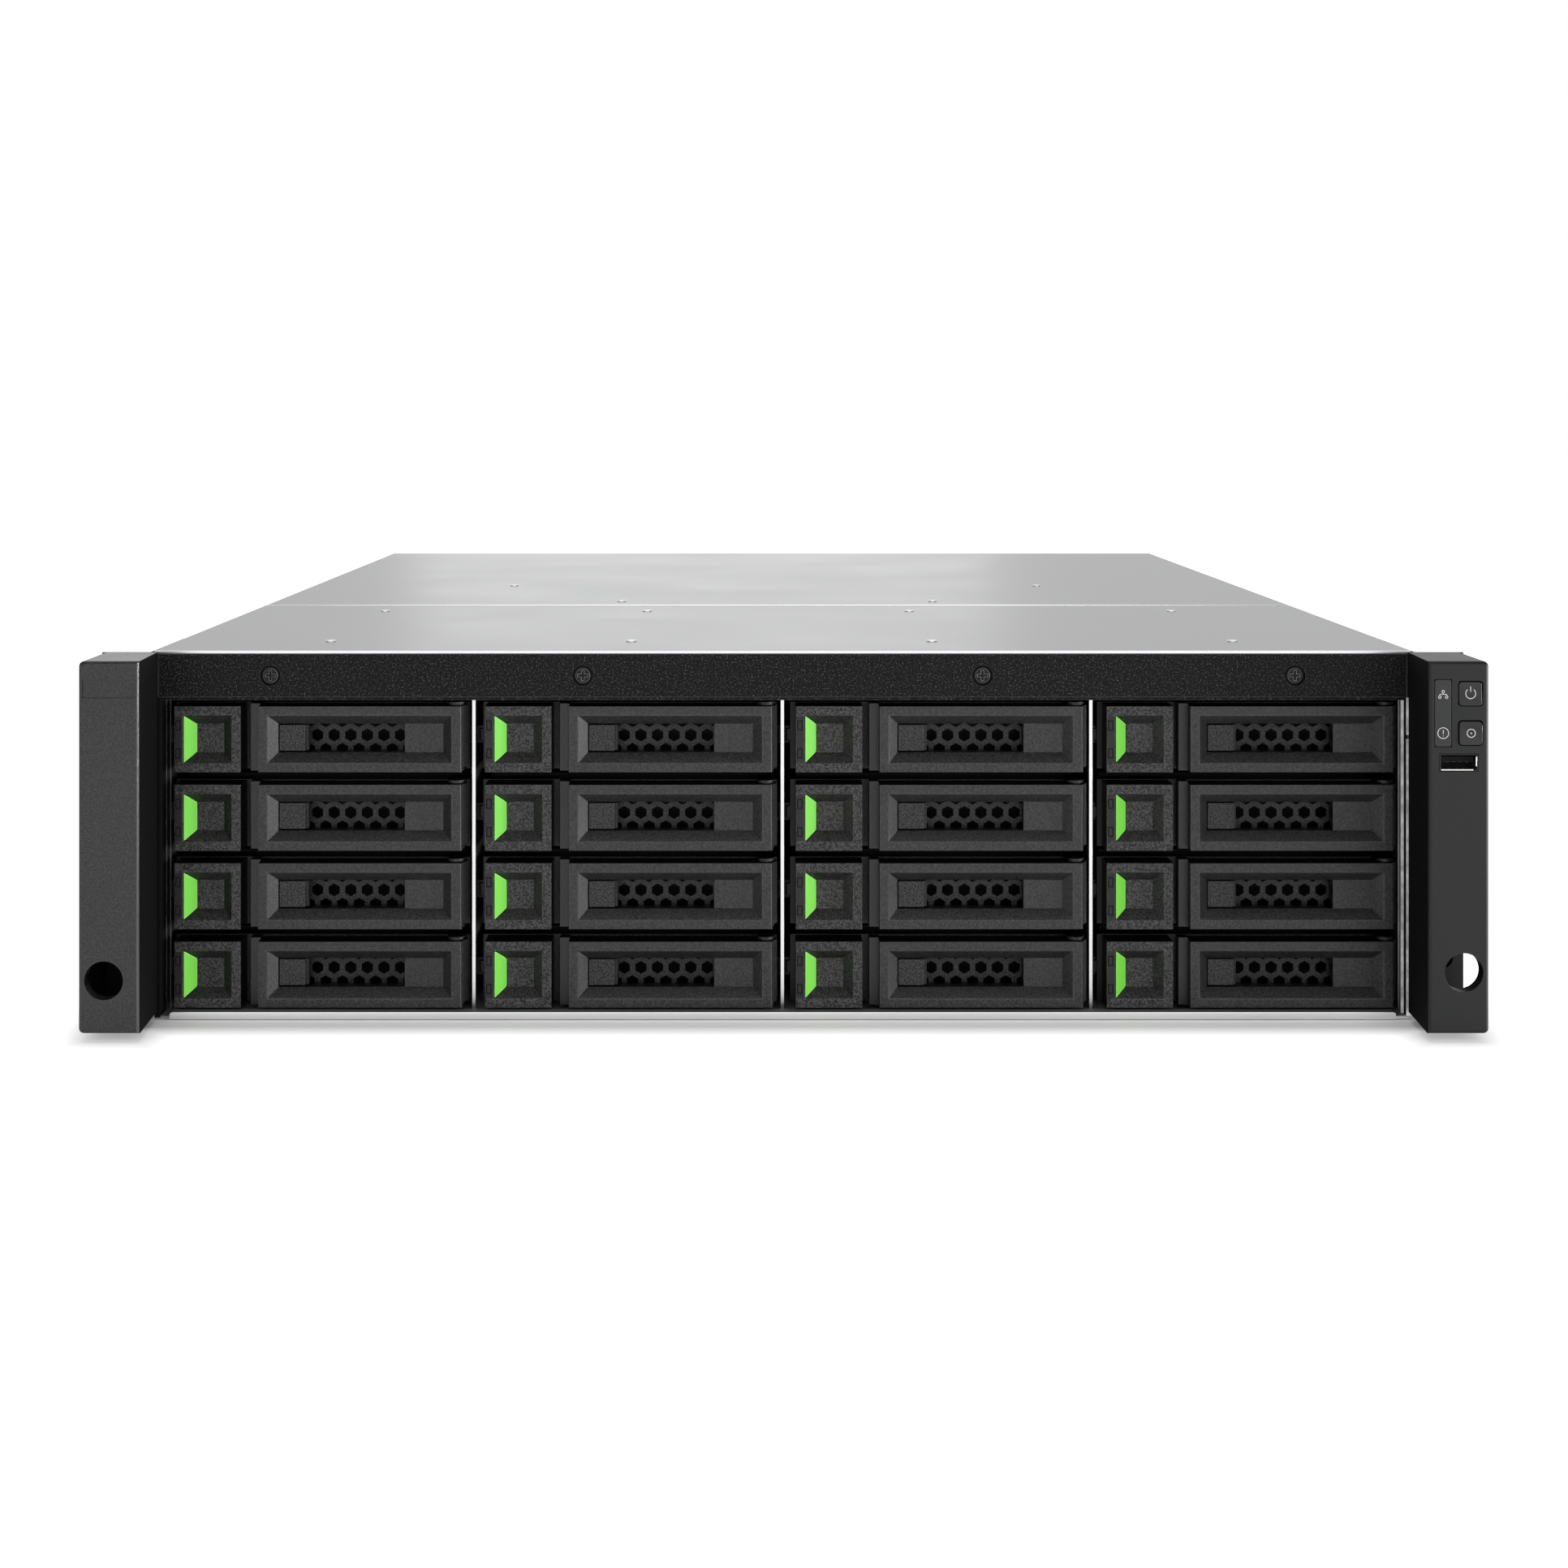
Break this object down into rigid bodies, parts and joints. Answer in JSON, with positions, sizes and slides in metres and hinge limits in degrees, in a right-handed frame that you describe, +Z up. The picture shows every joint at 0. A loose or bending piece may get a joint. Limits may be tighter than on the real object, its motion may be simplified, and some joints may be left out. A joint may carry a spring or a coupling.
{
  "type": "rack-mount storage server",
  "caption": "Rack-mount storage server with a grid of sliding front drive trays, rack ears with buttons, and pull-out rear power modules and controllers.",
  "frame": {"origin": "underside of the case, midway across, in the plane of the rack flanges' back faces", "axes": "+X right seen from the front, +Y from the front to the back, +Z up"},
  "size_m": [0.4826, 0.5523, 0.1314],
  "materials": {
    "case_steel": "satin zinc-coated sheet",
    "cage_steel": "bare cut edges, dull zinc faces",
    "flange_steel": "black zinc",
    "fastener_steel": "bright rivets",
    "dark_screw": "black oxide",
    "bezel_coat": "fine speckled black powder coat",
    "runner_plastic": "black moulding",
    "ear_plastic": "fine-grained dark grey moulding",
    "key_plastic": "satin dark grey key cap",
    "window_plastic": "smoked indicator window",
    "socket_metal": "bright tinned shell",
    "circuit_board": "green solder mask",
    "connector_plastic": "black connector moulding",
    "module_steel": "zinc-coated sheet",
    "fan_plastic": "black fan moulding",
    "tray_plastic": "fine-grained dark grey moulding",
    "handle_plastic": "fine-grained dark grey moulding",
    "release_plastic": "bright green moulding"
  },
  "bodies": {
    "chassis": {"base_pan": "case_steel", "front_top_cover": "case_steel", "rear_top_cover": "case_steel", "cover_rivets": "fastener_steel", "bezel_bar": "bezel_coat", "bezel_screws": "dark_screw", "partition_walls": "cage_steel", "bay_runners": "runner_plastic", "rack_flanges": "flange_steel", "left_ear": "ear_plastic", "right_ear": "ear_plastic", "status_window": "window_plastic", "usb_port": "socket_metal", "panel_board": "circuit_board", "backplane_board": "circuit_board", "drive_sockets": "connector_plastic"},
    "power_button": {"power_button": "key_plastic"},
    "locator_button": {"locator_button": "key_plastic"},
    "drive_tray_01": {"drive_tray_01": "tray_plastic"},
    "tray_handle_01": {"tray_handle_01": "handle_plastic"},
    "drive_tray_02": {"drive_tray_02": "tray_plastic"},
    "tray_handle_02": {"tray_handle_02": "handle_plastic"},
    "drive_tray_03": {"drive_tray_03": "tray_plastic"},
    "tray_handle_03": {"tray_handle_03": "handle_plastic"},
    "drive_tray_04": {"drive_tray_04": "tray_plastic"},
    "tray_handle_04": {"tray_handle_04": "handle_plastic"},
    "drive_tray_05": {"drive_tray_05": "tray_plastic"},
    "tray_handle_05": {"tray_handle_05": "handle_plastic"},
    "drive_tray_06": {"drive_tray_06": "tray_plastic"},
    "tray_handle_06": {"tray_handle_06": "handle_plastic"},
    "drive_tray_07": {"drive_tray_07": "tray_plastic"},
    "tray_handle_07": {"tray_handle_07": "handle_plastic"},
    "drive_tray_08": {"drive_tray_08": "tray_plastic"},
    "tray_handle_08": {"tray_handle_08": "handle_plastic"},
    "drive_tray_09": {"drive_tray_09": "tray_plastic"},
    "tray_handle_09": {"tray_handle_09": "handle_plastic"},
    "drive_tray_10": {"drive_tray_10": "tray_plastic"},
    "tray_handle_10": {"tray_handle_10": "handle_plastic"},
    "drive_tray_11": {"drive_tray_11": "tray_plastic"},
    "tray_handle_11": {"tray_handle_11": "handle_plastic"},
    "drive_tray_12": {"drive_tray_12": "tray_plastic"},
    "tray_handle_12": {"tray_handle_12": "handle_plastic"},
    "drive_tray_13": {"drive_tray_13": "tray_plastic"},
    "tray_handle_13": {"tray_handle_13": "handle_plastic"},
    "drive_tray_14": {"drive_tray_14": "tray_plastic"},
    "tray_handle_14": {"tray_handle_14": "handle_plastic"},
    "drive_tray_15": {"drive_tray_15": "tray_plastic"},
    "tray_handle_15": {"tray_handle_15": "handle_plastic"},
    "drive_tray_16": {"drive_tray_16": "tray_plastic"},
    "tray_handle_16": {"tray_handle_16": "handle_plastic"},
    "release_button_01": {"release_button_01": "release_plastic"},
    "release_button_02": {"release_button_02": "release_plastic"},
    "release_button_03": {"release_button_03": "release_plastic"},
    "release_button_04": {"release_button_04": "release_plastic"},
    "power_module_left": {"power_module_left": "module_steel"},
    "power_module_right": {"power_module_right": "module_steel"},
    "controller_upper": {"controller_upper": "module_steel"},
    "controller_lower": {"controller_lower": "module_steel"},
    "fan_rotor_left": {"fan_rotor_left": "fan_plastic"},
    "fan_rotor_right": {"fan_rotor_right": "fan_plastic"}
  },
  "joints": [
    {"name": "power_button_press", "type": "slide", "parent": "chassis", "child": "power_button", "axis": [0, 1, 0], "range_m": [0, 0.0012], "stiffness_N_per_m": 900},
    {"name": "locator_button_press", "type": "slide", "parent": "chassis", "child": "locator_button", "axis": [0, 1, 0], "range_m": [0, 0.0012], "stiffness_N_per_m": 900},
    {"name": "drive_tray_01_slide", "type": "slide", "parent": "chassis", "child": "drive_tray_01", "axis": [0, -1, 0], "range_m": [0, 0.15]},
    {"name": "tray_handle_01_hinge", "type": "hinge", "parent": "drive_tray_01", "child": "tray_handle_01", "pos_m": [-0.1167, 0.0061, 0.09903], "axis": [0, 0, 1], "range_deg": [0, 65]},
    {"name": "drive_tray_02_slide", "type": "slide", "parent": "chassis", "child": "drive_tray_02", "axis": [0, -1, 0], "range_m": [0, 0.15]},
    {"name": "tray_handle_02_hinge", "type": "hinge", "parent": "drive_tray_02", "child": "tray_handle_02", "pos_m": [-0.006, 0.0061, 0.09903], "axis": [0, 0, 1], "range_deg": [0, 65]},
    {"name": "drive_tray_03_slide", "type": "slide", "parent": "chassis", "child": "drive_tray_03", "axis": [0, -1, 0], "range_m": [0, 0.15]},
    {"name": "tray_handle_03_hinge", "type": "hinge", "parent": "drive_tray_03", "child": "tray_handle_03", "pos_m": [0.1047, 0.0061, 0.09903], "axis": [0, 0, 1], "range_deg": [0, 65]},
    {"name": "drive_tray_04_slide", "type": "slide", "parent": "chassis", "child": "drive_tray_04", "axis": [0, -1, 0], "range_m": [0, 0.15]},
    {"name": "tray_handle_04_hinge", "type": "hinge", "parent": "drive_tray_04", "child": "tray_handle_04", "pos_m": [0.2154, 0.0061, 0.09903], "axis": [0, 0, 1], "range_deg": [0, 65]},
    {"name": "drive_tray_05_slide", "type": "slide", "parent": "chassis", "child": "drive_tray_05", "axis": [0, -1, 0], "range_m": [0, 0.15]},
    {"name": "tray_handle_05_hinge", "type": "hinge", "parent": "drive_tray_05", "child": "tray_handle_05", "pos_m": [-0.1167, 0.0061, 0.07107], "axis": [0, 0, 1], "range_deg": [0, 65]},
    {"name": "drive_tray_06_slide", "type": "slide", "parent": "chassis", "child": "drive_tray_06", "axis": [0, -1, 0], "range_m": [0, 0.15]},
    {"name": "tray_handle_06_hinge", "type": "hinge", "parent": "drive_tray_06", "child": "tray_handle_06", "pos_m": [-0.006, 0.0061, 0.07107], "axis": [0, 0, 1], "range_deg": [0, 65]},
    {"name": "drive_tray_07_slide", "type": "slide", "parent": "chassis", "child": "drive_tray_07", "axis": [0, -1, 0], "range_m": [0, 0.15]},
    {"name": "tray_handle_07_hinge", "type": "hinge", "parent": "drive_tray_07", "child": "tray_handle_07", "pos_m": [0.1047, 0.0061, 0.07107], "axis": [0, 0, 1], "range_deg": [0, 65]},
    {"name": "drive_tray_08_slide", "type": "slide", "parent": "chassis", "child": "drive_tray_08", "axis": [0, -1, 0], "range_m": [0, 0.15]},
    {"name": "tray_handle_08_hinge", "type": "hinge", "parent": "drive_tray_08", "child": "tray_handle_08", "pos_m": [0.2154, 0.0061, 0.07107], "axis": [0, 0, 1], "range_deg": [0, 65]},
    {"name": "drive_tray_09_slide", "type": "slide", "parent": "chassis", "child": "drive_tray_09", "axis": [0, -1, 0], "range_m": [0, 0.15]},
    {"name": "tray_handle_09_hinge", "type": "hinge", "parent": "drive_tray_09", "child": "tray_handle_09", "pos_m": [-0.1167, 0.0061, 0.04312], "axis": [0, 0, 1], "range_deg": [0, 65]},
    {"name": "drive_tray_10_slide", "type": "slide", "parent": "chassis", "child": "drive_tray_10", "axis": [0, -1, 0], "range_m": [0, 0.15]},
    {"name": "tray_handle_10_hinge", "type": "hinge", "parent": "drive_tray_10", "child": "tray_handle_10", "pos_m": [-0.006, 0.0061, 0.04312], "axis": [0, 0, 1], "range_deg": [0, 65]},
    {"name": "drive_tray_11_slide", "type": "slide", "parent": "chassis", "child": "drive_tray_11", "axis": [0, -1, 0], "range_m": [0, 0.15]},
    {"name": "tray_handle_11_hinge", "type": "hinge", "parent": "drive_tray_11", "child": "tray_handle_11", "pos_m": [0.1047, 0.0061, 0.04312], "axis": [0, 0, 1], "range_deg": [0, 65]},
    {"name": "drive_tray_12_slide", "type": "slide", "parent": "chassis", "child": "drive_tray_12", "axis": [0, -1, 0], "range_m": [0, 0.15]},
    {"name": "tray_handle_12_hinge", "type": "hinge", "parent": "drive_tray_12", "child": "tray_handle_12", "pos_m": [0.2154, 0.0061, 0.04312], "axis": [0, 0, 1], "range_deg": [0, 65]},
    {"name": "drive_tray_13_slide", "type": "slide", "parent": "chassis", "child": "drive_tray_13", "axis": [0, -1, 0], "range_m": [0, 0.15]},
    {"name": "tray_handle_13_hinge", "type": "hinge", "parent": "drive_tray_13", "child": "tray_handle_13", "pos_m": [-0.1167, 0.0061, 0.01517], "axis": [0, 0, 1], "range_deg": [0, 65]},
    {"name": "drive_tray_14_slide", "type": "slide", "parent": "chassis", "child": "drive_tray_14", "axis": [0, -1, 0], "range_m": [0, 0.15]},
    {"name": "tray_handle_14_hinge", "type": "hinge", "parent": "drive_tray_14", "child": "tray_handle_14", "pos_m": [-0.006, 0.0061, 0.01517], "axis": [0, 0, 1], "range_deg": [0, 65]},
    {"name": "drive_tray_15_slide", "type": "slide", "parent": "chassis", "child": "drive_tray_15", "axis": [0, -1, 0], "range_m": [0, 0.15]},
    {"name": "tray_handle_15_hinge", "type": "hinge", "parent": "drive_tray_15", "child": "tray_handle_15", "pos_m": [0.1047, 0.0061, 0.01517], "axis": [0, 0, 1], "range_deg": [0, 65]},
    {"name": "drive_tray_16_slide", "type": "slide", "parent": "chassis", "child": "drive_tray_16", "axis": [0, -1, 0], "range_m": [0, 0.15]},
    {"name": "tray_handle_16_hinge", "type": "hinge", "parent": "drive_tray_16", "child": "tray_handle_16", "pos_m": [0.2154, 0.0061, 0.01517], "axis": [0, 0, 1], "range_deg": [0, 65]},
    {"name": "release_button_01_press", "type": "slide", "parent": "drive_tray_01", "child": "release_button_01", "axis": [0, 1, 0], "range_m": [0, 0.002], "stiffness_N_per_m": 900},
    {"name": "release_button_02_press", "type": "slide", "parent": "drive_tray_02", "child": "release_button_02", "axis": [0, 1, 0], "range_m": [0, 0.002], "stiffness_N_per_m": 900},
    {"name": "release_button_03_press", "type": "slide", "parent": "drive_tray_03", "child": "release_button_03", "axis": [0, 1, 0], "range_m": [0, 0.002], "stiffness_N_per_m": 900},
    {"name": "release_button_04_press", "type": "slide", "parent": "drive_tray_04", "child": "release_button_04", "axis": [0, 1, 0], "range_m": [0, 0.002], "stiffness_N_per_m": 900},
    {"name": "power_module_left_slide", "type": "slide", "parent": "chassis", "child": "power_module_left", "axis": [0, 1, 0], "range_m": [0, 0.2]},
    {"name": "power_module_right_slide", "type": "slide", "parent": "chassis", "child": "power_module_right", "axis": [0, 1, 0], "range_m": [0, 0.2]},
    {"name": "controller_upper_slide", "type": "slide", "parent": "chassis", "child": "controller_upper", "axis": [0, 1, 0], "range_m": [0, 0.2]},
    {"name": "controller_lower_slide", "type": "slide", "parent": "chassis", "child": "controller_lower", "axis": [0, 1, 0], "range_m": [0, 0.2]},
    {"name": "fan_rotor_left_spin", "type": "hinge", "parent": "power_module_left", "child": "fan_rotor_left", "pos_m": [-0.16592, 0.481, 0.0834], "axis": [0, 1, 0], "continuous": true},
    {"name": "fan_rotor_right_spin", "type": "hinge", "parent": "power_module_right", "child": "fan_rotor_right", "pos_m": [0.16592, 0.481, 0.0834], "axis": [0, 1, 0], "continuous": true}
  ]
}
